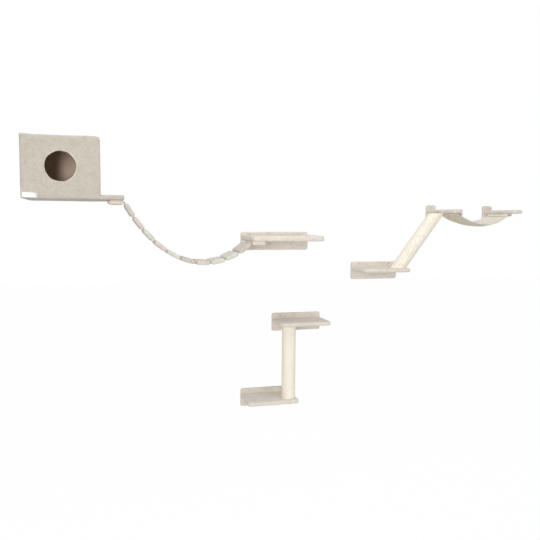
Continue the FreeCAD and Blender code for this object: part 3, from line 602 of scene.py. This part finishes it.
# ---- cave ---------------------------------------------------------------------------------
class CATTREE_OT_cave(bpy.types.Operator):
    """Makes the cave's plush skin, its plush floor, the soft rim and the blank label"""
    bl_idname = "cattree.cave"
    bl_label = "Cave"

    LEFT_CORNER, RIGHT_CORNER = 5 * MM, 14 * MM     # the roof's, seen from the front
    FLOOR_CORNER = 12 * MM                          # the arm's front corner, from above

    def execute(self, context):
        settings = context.scene.cat_tree_plush
        cloth = make(plush, "Short plush, cave", list(settings.body))
        low, high = box_of("cave_cover")
        ring_low, ring_high = box_of("cave_hole_rim")
        middle = (ring_low + ring_high) / 2
        hole = (ring_high.x - ring_low.x) / 2 - 3 * MM
        self.skin(low, high, middle, hole, cloth, settings)
        self.floor(high.x, cloth, settings)
        self.rim(ring_low, middle, hole)
        self.label(low.y)
        return {"FINISHED"}

    def skin(self, low, high, middle, hole, cloth, settings):
        """One bag of plush over front, sides and roof, open at the back and below."""
        out = Vector((settings.proud, settings.proud + 1.2 * MM, settings.proud))
        obj = cube("cave_plush", low - out, high + Vector((out.x, 0, out.z)))
        for x, radius in ((low.x, self.LEFT_CORNER), (high.x, self.RIGHT_CORNER)):
            bevel_along(obj, Y, radius, 5,
                        lambda p: abs(p.x - x) < 0.01 and p.z > high.z - 0.01)
        soften(obj, 4 * MM, settings.grain * 1.3, settings.uneven)
        swell(obj, 140 * MM, 1.8 * MM, 0.2)
        self.loose_top(obj, low, high)
        inside = Vector((settings.thick, settings.thick, settings.thick)) * 0.7
        floor_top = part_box("cave_floor_cover")[1][2]
        cut(obj, cube("room", low + inside, high + Vector((-inside.x, 0.01, -inside.z))))
        cut(obj, cylinder("hole", (middle.x, low.y - 0.02, middle.z),
                          (middle.x, low.y + 0.03, middle.z), hole, 96))
        under = (high.x - 4 * MM, low.y + 3 * MM, low.z - 0.01)
        cut(obj, cube("arm", under, (high.x + 0.02, high.y + 0.01, floor_top - 1 * MM)))
        cut(obj, cube("under", low + Vector((4 * MM, 3 * MM, -0.01)),
                      (high.x + 0.02, high.y + 0.01, low.z + 4 * MM)))
        self.clear_scraps(obj, high)
        smooth(obj)
        piece(wear(obj, cloth), ROOT, "plush", "cave_cover")

    def clear_scraps(self, obj, high):
        """Deletes what stands beyond the bag: the cuts leave part of a cutter there.

        The bag still has open and shared edges after this, most of them at its lower edge."""
        mesh = edit(obj, "VERT")
        for vertex in mesh.verts:
            if vertex.co.x > high.x + 6 * MM or vertex.co.y > high.y + 1 * MM:
                vertex.select_set(True)
        bmesh.update_edit_mesh(obj.data)
        bpy.ops.mesh.delete(type="VERT")
        done(obj)

    def loose_top(self, obj, low, high):
        """Lets the bag stand up a little at its left corner and at the right of its top."""
        for vertex in obj.data.vertices:
            p = vertex.co
            if p.z < high.z - 0.03:
                continue
            u = (p.x - low.x) / (high.x - low.x)
            near_front = max(0.0, 1 - (p.y - low.y) / 0.12)
            fade = (p.z - high.z + 0.03) / 0.03
            left = 4.0 * MM * max(0.0, 1 - u / 0.22) ** 2
            right = 2.6 * MM * math.exp(-((u - 0.84) / 0.13) ** 2)
            vertex.co.z += (left + right) * near_front * min(1.0, fade)

    def floor(self, wall_x, cloth, settings):
        low, high = box_of("cave_floor_cover")
        out = 0.4 * MM
        obj = cube("cave_floor_plush", low + Vector((2.0 * MM, -out, -out)),
                   high + Vector((out, 0, out)))
        bevel_along(obj, Z, self.FLOOR_CORNER, 7,
                    lambda p: p.x > wall_x and p.y < low.y + 0.01)
        soften(obj, 3 * MM, settings.grain, settings.uneven * 0.6)
        piece(wear(obj, cloth), ROOT, "plush", "cave_floor_cover")

    def rim(self, ring_low, middle, hole):
        """A ring of pale fleece turned over the edge of the entrance, a little wavy by hand."""
        profile = [(-1.0, 14.0), (-1.6, 6.0), (-1.5, 1.0), (-0.2, -1.9), (2.2, -2.6),
                   (4.0, -2.2), (4.9, -0.6), (4.4, 1.4)]
        front = ring_low.y + 1.5 * MM
        mesh = bpy.data.meshes.new("rim")
        mesh.from_pydata([(hole + out * MM, front + back * MM, 0) for out, back in profile],
                         [(i, i + 1) for i in range(len(profile) - 1)], [])
        obj = new_object("cave_rim_binding", mesh)
        modify(obj, "SCREW", axis="Y", angle=math.tau, steps=96, render_steps=96,
               use_merge_vertices=True, use_smooth_shade=True)
        for vertex in obj.data.vertices:
            p = vertex.co
            turn = math.atan2(p.z, p.x)
            wave = (0.5 * math.sin(5 * turn + 0.6) + 0.4 * math.sin(8 * turn)
                    + 0.3 * math.sin(13 * turn))
            stretch = 1 + wave * MM / hole
            vertex.co = Vector((p.x * stretch, p.y, p.z * stretch))
        obj.location = (middle.x, 0, middle.z)
        settle(obj)
        face_outwards(obj)
        modify(obj, "SOLIDIFY", thickness=0.9 * MM, offset=0)
        modify(obj, "SUBSURF", levels=1, render_levels=1)
        swell(obj, 6 * MM, 0.5 * MM)
        smooth(obj)
        cloth = make(plush, "Pale fleece binding", linear("#DDD6CB"))
        piece(wear(obj, cloth), ROOT, "rim_plastic", "cave_hole_rim")

    def label(self, front):
        """A blank strip of woven tape whose right end is folded under and stands off a little."""
        low, high = box_of("cave_label")
        bpy.ops.object.select_all(action="DESELECT")
        bpy.ops.mesh.primitive_grid_add(x_subdivisions=60, y_subdivisions=16, size=1)
        obj = bpy.context.object
        obj.name = "cave_label_tape"
        size = high - low
        for vertex in obj.data.vertices:
            u, v = vertex.co.x + 0.5, vertex.co.y + 0.5
            wave = 0.4 * math.sin(9 * u + 2 * v) + 0.5 * math.sin(3.1 * u - 4 * v)
            crease = math.exp(-((u - 0.86 - 0.05 * v) / 0.022) ** 2)
            lift = 2.0 * max(0.0, u - 0.88) / 0.12 - 1.1 * crease
            slant = 1.2 * MM * (0.5 - u)
            vertex.co = Vector((low.x + u * size.x * 0.9 - 1.5 * MM,
                                front - (3.4 + 0.3 * wave + lift) * MM,
                                low.z + v * size.z * (1 - 0.1 * u) + slant))
        modify(obj, "SOLIDIFY", thickness=0.5 * MM, offset=0)
        smooth(obj)
        tape = make(woven, "Blank satin tape", linear("#FBFBFA"), 1.2)
        piece(wear(obj, tape), ROOT, "label_tape", "cave_label")
        # Painted shade: a grey-pink thread loop round the folded right end stands in for the shade along the
        # fold's outline.
        end, top = low.x + size.x * 0.9 - 1.5 * MM, low.z + size.z * 0.88
        line = [(end - 11 * MM, top), (end - 4 * MM, top - 3 * MM), (end - 0.5 * MM, top - 9 * MM),
                (end - 3 * MM, top - 14 * MM), (end - 9 * MM, top - 11 * MM),
                (end - 12 * MM, top - 5 * MM), (end - 11 * MM, top)]
        loop = tube("cave_label_thread", [(x, front - 6.2 * MM, z) for x, z in line], 0.55 * MM)
        piece(wear(loop, make(braid, "Rose grey sewing thread", linear("#B5A5A6"))), ROOT,
              "label_tape", "cave_label")


# ---- posts --------------------------------------------------------------------------------
def post_line(node):
    """Foot and head of a post's axis, from the level ends of its sisal sleeve."""
    obj = frame["nodes"][node]
    low, high = box_of(node)
    ends = []
    for z in (low.z, high.z):
        rim = [v.co for v in obj.data.vertices if abs(v.co.z - z) < 0.1 * MM]
        xs = [p.x for p in rim]
        ys = [p.y for p in rim]
        ends.append(Vector(((min(xs) + max(xs)) / 2, (min(ys) + max(ys)) / 2, z)))
    return ends[0], ends[1], (high.y - low.y) / 2


def coil(name, length, radius, settings):
    """Rope wound round an upright axis in one layer, with a map that follows the rope."""
    rope_r = settings.rope / 2
    centre_r = radius - rope_r
    bpy.ops.object.select_all(action="DESELECT")
    bpy.ops.mesh.primitive_circle_add(vertices=12, radius=rope_r, location=(centre_r, 0, 0),
                                      rotation=(math.pi / 2, 0, 0))
    obj = bpy.context.object
    obj.name = name
    settle(obj)
    turns = int(length / settings.rope) + 1
    modify(obj, "SCREW", axis="Z", angle=math.tau, screw_offset=settings.rope,
           iterations=turns, steps=settings.steps, render_steps=settings.steps,
           use_merge_vertices=False, use_smooth_shade=True)
    mesh = obj.data
    layer = mesh.uv_layers.new(name="rope")
    pitch = settings.rope
    for loop in mesh.loops:
        p = mesh.vertices[loop.vertex_index].co
        turn = math.atan2(p.y, p.x) / math.tau
        whole = round(p.z / pitch - turn)
        rise = p.z - (turn + whole) * pitch
        around = math.atan2(rise, math.hypot(p.x, p.y) - centre_r) / math.tau
        along = (turn + whole) * math.tau * centre_r / settings.lay
        layer.data[loop.index].uv = (3 * along, 3 * around)
    return obj


class CATTREE_OT_posts(bpy.types.Operator):
    """Winds sisal rope round the upright and the sloping post"""
    bl_idname = "cattree.posts"
    bl_label = "Scratching posts"

    def execute(self, context):
        settings = context.scene.cat_tree_posts
        rope = make(sisal, "Twisted sisal rope", list(settings.sisal))
        for name in ("upright_post", "sloping_post"):
            foot, head, radius = post_line(name + "_sisal")
            along = head - foot
            spare = radius * 2 if abs(along.x) > radius else 0.0
            obj = coil(name + "_rope", along.length + 2 * spare, radius, settings)
            turn = Vector((0, 0, 1)).rotation_difference(along).to_matrix().to_4x4()
            start = foot - along.normalized() * spare
            obj.data.transform(Matrix.Translation(start) @ turn)
            self.trim(obj, foot.z, False)
            self.trim(obj, head.z, True)
            swell(obj, 14 * MM, 0.5 * MM)
            smooth(obj)
            piece(wear(obj, rope), ROOT, "sisal", name + "_sisal")
        return {"FINISHED"}

    def trim(self, obj, z, above):
        """Cuts the rope level where it meets a board.

        Open edges stay at the cuts: 110 on the upright rope and 15 on the sloping one."""
        edit(obj, "FACE")
        bpy.ops.mesh.select_all(action="SELECT")
        bpy.ops.mesh.bisect(plane_co=(0, 0, z), plane_no=(0, 0, 1), use_fill=True,
                            clear_outer=above, clear_inner=not above)
        done(obj)


# ---- bridge -------------------------------------------------------------------------------
def slat_line(i):
    """Where slat i starts, and the direction it runs in."""
    joints = {joint["name"]: Vector(joint["pos_m"]) for joint in frame["joints"]}
    start = joints["slat_%02d_hinge" % i]
    low, high = box_of("bridge_slat_%02d" % i)
    middle = (low + high) / 2
    return start, middle, (middle - start).normalized()


class CATTREE_OT_bridge(bpy.types.Operator):
    """Makes the plump slats, the two anchor slats and the threaded cords"""
    bl_idname = "cattree.bridge"
    bl_label = "Hanging bridge"

    def execute(self, context):
        plush_settings = context.scene.cat_tree_plush
        settings = context.scene.cat_tree_bridge
        tints = {tint: make(plush, "Short plush, " + label, list(getattr(plush_settings, tint)))
                 for tint, label in (("grey", "grey beige"), ("rose", "rose beige"),
                                     ("cream", "cream"))}
        order = ("grey", "rose", "cream", "rose", "cream", "grey", "rose", "cream", "cream",
                 "grey")
        anchor_cloth = make(plush, "Short plush, shelves", list(plush_settings.shelf))
        braided = make(braid, "Braided polyester cord", list(settings.cord))
        low, high = solids_of("bridge_anchor_covers")[0]
        model = self.model(high - low, settings)
        for i in range(1, SLATS + 1):
            start, middle, along = slat_line(i)
            body = "slat_%02d" % i
            turn = Vector((1, 0, 0)).rotation_difference(along).to_matrix().to_4x4()
            obj = self.copy(model, "bridge_slat_plush_%02d" % i,
                            Matrix.Translation(middle) @ turn)
            piece(wear(obj, tints[order[i - 1]]), body, "plush", "bridge_slat_%02d_plush" % i)
            self.links(i, start, middle, along, body, braided, settings)
        for i, (low, high) in enumerate(solids_of("bridge_anchor_covers")):
            obj = self.copy(model, "bridge_anchor_plush_%d" % (i + 1),
                            Matrix.Translation((low + high) / 2))
            piece(wear(obj, anchor_cloth), ROOT, "plush", "bridge_anchor_covers")
        bpy.data.objects.remove(model, do_unlink=True)
        self.ends(braided, settings)
        return {"FINISHED"}

    def model(self, size, settings):
        """One slat lying along X about the origin."""
        obj = cube("slat_model", -size / 2, size / 2)
        bevel_along(obj, Y, settings.plump, 6)
        modify(obj, "BEVEL", width=4 * MM, segments=3, limit_method="ANGLE",
               angle_limit=math.radians(40))
        modify(obj, "REMESH", mode="VOXEL", voxel_size=3 * MM, use_smooth_shade=True)
        modify(obj, "SMOOTH", factor=0.5, iterations=3)
        return obj

    def copy(self, model, name, place):
        """A copy of the slat with its own mesh, laid in place and made uneven there."""
        obj = twin(model, name)
        obj.data.transform(place)
        swell(obj, 30 * MM, 1.6 * MM, 0.3)
        swell(obj, 8 * MM, 0.6 * MM)
        return smooth(obj)

    def cord_ys(self):
        return [sum(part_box("bridge_cord_" + side)[k][1] for k in (0, 1)) / 2
                for side in ("front", "back")]

    def links(self, i, start, middle, along, body, braided, settings):
        """The stretch of each cord that a slat carries with it."""
        end = start + along * (middle - start).length * 2
        for side, y in zip(("front", "back"), self.cord_ys()):
            points = [Vector((p.x, y, p.z)) for p in (start, start.lerp(end, 0.5), end)]
            obj = tube("bridge_cord_%s_%02d" % (side, i), points, settings.diameter / 2)
            piece(wear(obj, braided), body, "cord", "bridge_cord_" + side)

    def ends(self, braided, settings):
        """The cords' ends: through both anchor slats, with a knot beyond each."""
        anchors = solids_of("bridge_anchor_covers")
        first = slat_line(1)[0]
        start, middle, along = slat_line(SLATS)
        last = start + along * (middle - start).length * 2
        for side, y in zip(("front", "back"), self.cord_ys()):
            for k, (pivot, (low, high)) in enumerate(zip((first, last), anchors)):
                z = (low.z + high.z) / 2
                near, far = (high.x, low.x) if k == 0 else (low.x, high.x)
                sign = 1 if k == 0 else -1
                points = [(far - sign * 5 * MM, y, z), (far, y, z),
                          ((near + far) / 2, y, z), (near - sign * 4 * MM, y, z),
                          (near + sign * 3.5 * MM, y, z), (pivot.x, y, pivot.z)]
                end = tube("bridge_cord_%s_end_%d" % (side, k + 1), points,
                           settings.diameter / 2)
                piece(wear(end, braided), ROOT, "cord", "bridge_cord_" + side)
                knot = self.knot("bridge_knot_%s_%d" % (side, k + 1),
                                 Vector((far - sign * 4 * MM, y, z)), settings)
                piece(wear(knot, braided), ROOT, "cord", "bridge_cord_" + side)

    def knot(self, name, middle, settings):
        """A tight overhand knot: a trefoil pulled small."""
        points = []
        count = 24
        for i in range(count):
            t = math.tau * i / count
            reach = 1.0 + 0.48 * math.cos(3 * t)
            points.append(middle + Vector((math.sin(3 * t) * 1.5 * MM,
                                           math.cos(2 * t) * reach * 2.6 * MM,
                                           math.sin(2 * t) * reach * 2.6 * MM)))
        return tube(name, points, settings.diameter / 2 * 0.9, 3, 3, closed=True)


# ---- hammock ------------------------------------------------------------------------------
class CATTREE_OT_hammock(bpy.types.Operator):
    """Hangs the plush sling on its two rods, with its hems, sleeves and stitches"""
    bl_idname = "cattree.hammock"
    bl_label = "Hammock sling"

    ROD_END = 12 * MM                       # how far a rod runs on past the cloth
    SAGS = (57 * MM, 68 * MM, 47 * MM)      # below the rods: front edge, half way, back edge
    LOWS = (0.58, 0.42)                     # where the lowest line runs: front and back edge
    LOOP_R = 6.6 * MM                       # the cloth's middle round a rod
    SEAM_X, SEAM_Z = 11 * MM, -8 * MM       # a sleeve's seam, from the rod's middle

    def execute(self, context):
        settings = context.scene.cat_tree_hammock
        rods = solids_of("sling_rods")
        rows = self.rows(rods)
        obj, length = self.cloth(rows, settings)
        face = make(plush, "Short plush, sling", list(settings.cloth))
        back = make(woven, "Knitted backing cloth", list(settings.backing), 1.6)
        obj.data.materials.append(face)
        obj.data.materials.append(back)
        # Painted shade in part: faces that point down get the darker backing colour, on a real knitted backing.
        for polygon in obj.data.polygons:
            polygon.material_index = 1 if polygon.normal.z < -0.15 else 0
        piece(obj, ROOT, "sling_cloth", "hammock_sling")
        seams = self.seams(rows, settings)
        piece(wear(seams, make(braid, "Polyester sewing thread", linear("#EFEADF"))), ROOT,
              "sling_cloth", "hammock_sling")
        return {"FINISHED"}

    def rows(self, rods):
        """The cloth's lines from the left rod to the right one, from its front edge back."""
        count = 44
        (left_low, left_high), (right_low, right_high) = rods
        left, right = (left_low + left_high) / 2, (right_low + right_high) / 2
        front, middle, back = self.SAGS
        rows = []
        for j in range(count + 1):
            t = j / count
            bend = 2 * (front - 2 * middle + back)
            sag = front + (back - front - bend) * t + bend * t * t
            low_share = self.LOWS[0] + (self.LOWS[1] - self.LOWS[0]) * t
            line = self.section(left, right, low_share, left.z - sag, t)
            ends = [low.y + self.ROD_END + t * (high.y - low.y - 2 * self.ROD_END)
                    for low, high in rods]
            for point in line:
                share = (point.x - left.x) / (right.x - left.x)
                point.y = ends[0] + (ends[1] - ends[0]) * min(1.0, max(0.0, share))
            rows.append(line)
        return rows

    def section(self, left, right, low_share, low_z, t):
        """The cloth's line seen from the front: round one rod, down, up and round the other."""
        low_x = left.x + (right.x - left.x) * low_share
        halves = []
        for rod, side in ((left, 1), (right, -1)):
            loop = []
            for k in range(19):
                angle = math.radians(-32 + 300 * k / 18)
                loop.append(Vector((rod.x + side * self.LOOP_R * math.cos(angle), 0,
                                    rod.z + self.LOOP_R * math.sin(angle))))
            seam = Vector((rod.x + side * self.SEAM_X, 0, rod.z + self.SEAM_Z))
            loop[0] = seam + Vector((side * 0.6 * MM, 0, 1.9 * MM))
            reach, rise = abs(low_x - seam.x), seam.z - low_z
            radius = (reach ** 2 + rise ** 2) / (2 * rise)
            swing = math.asin(reach / radius)
            arc = [seam]
            for k in range(1, 31):
                angle = swing * (1 - k / 30)
                pull = self.pucker(side, k / 30, t)
                arc.append(Vector((low_x - side * radius * math.sin(angle), 0,
                                   low_z + radius * (1 - math.cos(angle)) + pull)))
            halves.append(loop + arc)
        return halves[0] + halves[1][-2::-1]

    def pucker(self, side, along, t):
        """Small folds that run away from the rods, and slack dimples in the middle."""
        fold = math.sin(23 * t + side) + 0.6 * math.sin(41 * t - 2 * side)
        near_rod = 1.1 * MM * fold * math.exp(-along * 5.0) * min(1.0, along * 12)
        spot = noise.noise(Vector((side * along * 2.2, t * 3.4, 0.7)))
        return near_rod + 2.2 * MM * spot * math.sin(math.pi * min(1.0, along) / 2) ** 2

    def cloth(self, rows, settings):
        """One sheet through all the rows, thicker where its two long edges are hemmed."""
        points = len(rows[0])
        verts = [tuple(point) for line in rows for point in line]
        faces = []
        for j in range(len(rows) - 1):
            for i in range(points - 1):
                a = j * points + i
                faces.append((a, a + 1, a + points + 1, a + points))
        mesh = bpy.data.meshes.new("sling")
        mesh.from_pydata(verts, [], faces)
        obj = new_object("hammock_sling_cloth", mesh)
        hem = obj.vertex_groups.new(name="hem")
        width = (Vector(rows[0][30]) - Vector(rows[-1][30])).length
        for j in range(len(rows)):
            edge = min(j, len(rows) - 1 - j) / (len(rows) - 1) * width
            weight = 1.0 if edge < settings.hem else 0.0
            hem.add([j * points + i for i in range(points)], weight, "REPLACE")
        modify(obj, "SOLIDIFY", thickness=settings.thick * 1.5, offset=0,
               vertex_group="hem", thickness_vertex_group=0.67)
        face_outwards(obj)
        modify(obj, "SUBSURF", levels=1, render_levels=1)
        middle = rows[len(rows) // 2]
        length = sum((b - a).length for a, b in zip(middle, middle[1:]))
        return smooth(obj), length

    def seams(self, rows, settings):
        """Rows of single stitches along both sleeves and both hems."""
        inset = round(settings.hem * 0.8 / SLING_WIDTH * (len(rows) - 1))
        last = len(rows) - 1 - inset
        first_sag, last_sag = 20, len(rows[0]) - 21
        paths = [[row[k] for row in rows] for k in (first_sag, last_sag)]
        paths += [rows[j][first_sag:last_sag] for j in (inset, last)]
        lift = settings.thick * 0.75
        parts = []
        bpy.ops.object.select_all(action="DESELECT")
        bpy.ops.mesh.primitive_cylinder_add(vertices=6, radius=0.35 * MM, depth=settings.stitch)
        model = bpy.context.object
        modify(model, "BEVEL", width=0.15 * MM, segments=1, limit_method="ANGLE",
               angle_limit=math.radians(50))
        for path in paths:
            travelled = 0.0
            for a, b in zip(path, path[1:]):
                run = b - a
                while travelled < run.length:
                    place = a + run * (travelled / run.length)
                    turn = Vector((0, 0, 1)).rotation_difference(run).to_matrix().to_4x4()
                    for side in (-1, 1):
                        up = run.cross(Vector((0, 1, 0)) if abs(run.y) < abs(run.x)
                                       else Vector((1, 0, 0)))
                        up = up.normalized() if up.z > 0 else -up.normalized()
                        copy = twin(model, "stitch")
                        copy.data.transform(Matrix.Translation(place + up * side * lift) @ turn)
                        parts.append(copy)
                    travelled += settings.stitch * 1.45
                travelled -= run.length
        bpy.data.objects.remove(model, do_unlink=True)
        return smooth(join("hammock_sling_seams", parts))


# ---- parts that keep their own shape ------------------------------------------------------
class CATTREE_OT_fittings(bpy.types.Operator):
    """Finishes the bare boards, tubes, plugs and metal parts that keep their own shape"""
    bl_idname = "cattree.fittings"
    bl_label = "Boards and fittings"

    def execute(self, context):
        board = make(fibreboard, "Medium density fibreboard, bare", linear("#E4CDB9"))
        paper = make(fibreboard, "Wound paper tube", linear("#A98C66"))
        pine = make(fibreboard, "Turned softwood", linear("#CDAE82"))
        metal = make(zinc, "Zinc plated steel")
        cap = make(moulded, "Moulded polypropylene, pale grey", linear("#BFC1BE"))
        for name, obj in frame["nodes"].items():
            if name.endswith(("_plate", "_plates", "_board", "_boards", "_panel", "_panels",
                              "_slats")) or name.startswith("bridge_slat_"):
                wear(obj, board)
            elif name.endswith("_tube"):
                wear(obj, paper)
            elif name == "post_plugs":
                wear(obj, pine)
            elif name == "sling_rod_caps":
                wear(obj, cap)
            elif name in ("sling_rods", "sling_rod_eyes", "chipboard_screws", "post_studs",
                          "post_tee_nuts"):
                wear(obj, metal)
        return {"FINISHED"}


# ---- stage --------------------------------------------------------------------------------
class CATTREE_OT_stage(bpy.types.Operator):
    """Sets the camera, the soft lights, the pale floor and the white surround"""
    bl_idname = "cattree.stage"
    bl_label = "Stage, light and camera"

    TURN = (15.19, 4.52, 0.365)             # the camera's pan, tilt and roll in degrees
    PLACE = (-0.98735, -3.55, 0.0766)
    LENS, FILM = 41.35, 36                  # in millimetres
    AIM = (0.0, -0.2, 0.0)                  # where the lights point

    def execute(self, context):
        settings = context.scene.cat_tree_stage
        self.camera(context)
        self.lights(settings)
        self.floor(settings)
        self.surround(context, settings)
        context.scene.view_settings.view_transform = "Standard"
        return {"FINISHED"}

    def camera(self, context):
        """The photograph's view: from the left of centre, turned right and a little down."""
        pan, tilt, roll = (math.radians(angle) for angle in self.TURN)
        ahead = Vector((math.sin(pan) * math.cos(tilt), math.cos(pan) * math.cos(tilt),
                        -math.sin(tilt)))
        level = Vector((math.cos(pan), -math.sin(pan), 0))
        upright = level.cross(ahead)
        right = level * math.cos(roll) + upright * math.sin(roll)
        up = upright * math.cos(roll) - level * math.sin(roll)
        data = bpy.data.cameras.new("camera")
        data.sensor_width = self.FILM
        data.lens = self.LENS
        camera = new_object("camera", data)
        place = Matrix((right, up, -ahead)).transposed().to_4x4()
        place.translation = Vector(self.PLACE)
        camera.matrix_world = place
        context.scene.camera = camera

    def lights(self, settings):
        """A tall light left of the camera, a soft fill on its right and one from above."""
        lamps = (("key", (-1.75, -3.8, 0.25), (0.5, 1.2), settings.key),
                 ("fill", (2.4, -4.0, -0.2), (2.0, 2.0), settings.fill),
                 ("top", (-0.2, -1.0, 2.8), (2.6, 1.6), settings.top))
        for name, place, size, power in lamps:
            data = bpy.data.lights.new(name, "AREA")
            data.shape = "RECTANGLE"
            data.size, data.size_y = size
            data.energy = power
            lamp = new_object(name, data)
            lamp.location = place
            aim = Vector(self.AIM) - Vector(place)
            lamp.rotation_euler = aim.to_track_quat("-Z", "Y").to_euler()

    def floor(self, settings):
        """A pale floor below the object, which keeps its faint shadow."""
        bpy.ops.object.select_all(action="DESELECT")
        height = CAD_BOX[0][2] - settings.floor_drop
        bpy.ops.mesh.primitive_plane_add(size=24, location=(0, 0, height))
        obj = settle(bpy.context.object)
        obj.name = "floor"
        wear(obj, make(self.floor_finish, "White studio floor"))

    def floor_finish(self, tree):
        """White for the camera and matt for the light; clear from below."""
        matt = add(tree, "ShaderNodeBsdfPrincipled", {"Base Color": (0.85, 0.85, 0.85, 1),
                                                      "Roughness": 0.9})
        glow = add(tree, "ShaderNodeEmission", {"Color": (1, 1, 1, 1), "Strength": 1.0})
        share = maths(tree, "MULTIPLY", self.seen(tree), 0.985)
        both = add(tree, "ShaderNodeMixShader", {"Fac": share, 1: matt.outputs["BSDF"],
                                                 2: glow.outputs["Emission"]})
        under = add(tree, "ShaderNodeNewGeometry").outputs["Backfacing"]
        clear = add(tree, "ShaderNodeBsdfTransparent")
        sided = add(tree, "ShaderNodeMixShader", {"Fac": under, 1: both.outputs["Shader"],
                                                  2: clear.outputs["BSDF"]})
        return sided.outputs["Shader"]

    def seen(self, tree):
        """One for rays that end in the picture, straight or by way of a mirror or glass."""
        ray = add(tree, "ShaderNodeLightPath").outputs
        direct = maths(tree, "MAXIMUM", ray["Is Camera Ray"], ray["Is Glossy Ray"])
        return maths(tree, "MAXIMUM", direct, ray["Is Transmission Ray"])

    def surround(self, context, settings):
        """Even light from all round, white where the camera looks at it."""
        world = bpy.data.worlds.new("White surround")
        context.scene.world = world
        world.use_nodes = True
        tree = world.node_tree
        tree.nodes.clear()
        strength = add(tree, "ShaderNodeMapRange", {"Value": self.seen(tree),
                                                    "To Min": settings.sky, "To Max": 1.0})
        glow = add(tree, "ShaderNodeBackground", {"Color": (1, 1, 1, 1),
                                                  "Strength": strength.outputs["Result"]})
        add(tree, "ShaderNodeOutputWorld", {"Surface": glow.outputs["Background"]})


# ---- panel and registration ---------------------------------------------------------------
class CATTREE_PT_panel(bpy.types.Panel):
    bl_label = "Cat Tree"
    bl_idname = "CATTREE_PT_panel"
    bl_space_type = "VIEW_3D"
    bl_region_type = "UI"
    bl_category = "Cat Tree"

    def draw(self, context):
        for step in STEPS:
            self.layout.operator(step.bl_idname)
        for name, group in SETTINGS.items():
            box = self.layout.box()
            settings = getattr(context.scene, name)
            for prop in group.__annotations__:
                box.prop(settings, prop)


SETTINGS = {
    "cat_tree_plush": PlushSettings,
    "cat_tree_posts": PostSettings,
    "cat_tree_bridge": BridgeSettings,
    "cat_tree_hammock": HammockSettings,
    "cat_tree_stage": StageSettings,
}
STEPS = (CATTREE_OT_shelves, CATTREE_OT_cave, CATTREE_OT_posts, CATTREE_OT_bridge,
         CATTREE_OT_hammock, CATTREE_OT_fittings, CATTREE_OT_stage)


def register():
    for group in SETTINGS.values():
        bpy.utils.register_class(group)
    for name, group in SETTINGS.items():
        setattr(bpy.types.Scene, name, PointerProperty(type=group))
    for step in STEPS:
        bpy.utils.register_class(step)
    bpy.utils.register_class(CATTREE_PT_panel)


def unregister():
    bpy.utils.unregister_class(CATTREE_PT_panel)
    for step in reversed(STEPS):
        bpy.utils.unregister_class(step)
    for name, group in SETTINGS.items():
        delattr(bpy.types.Scene, name)
        bpy.utils.unregister_class(group)


def main():
    register()
    for step in STEPS:
        space, name = step.bl_idname.split(".")
        getattr(getattr(bpy.ops, space), name)()


if __name__ == "__main__":
    main()
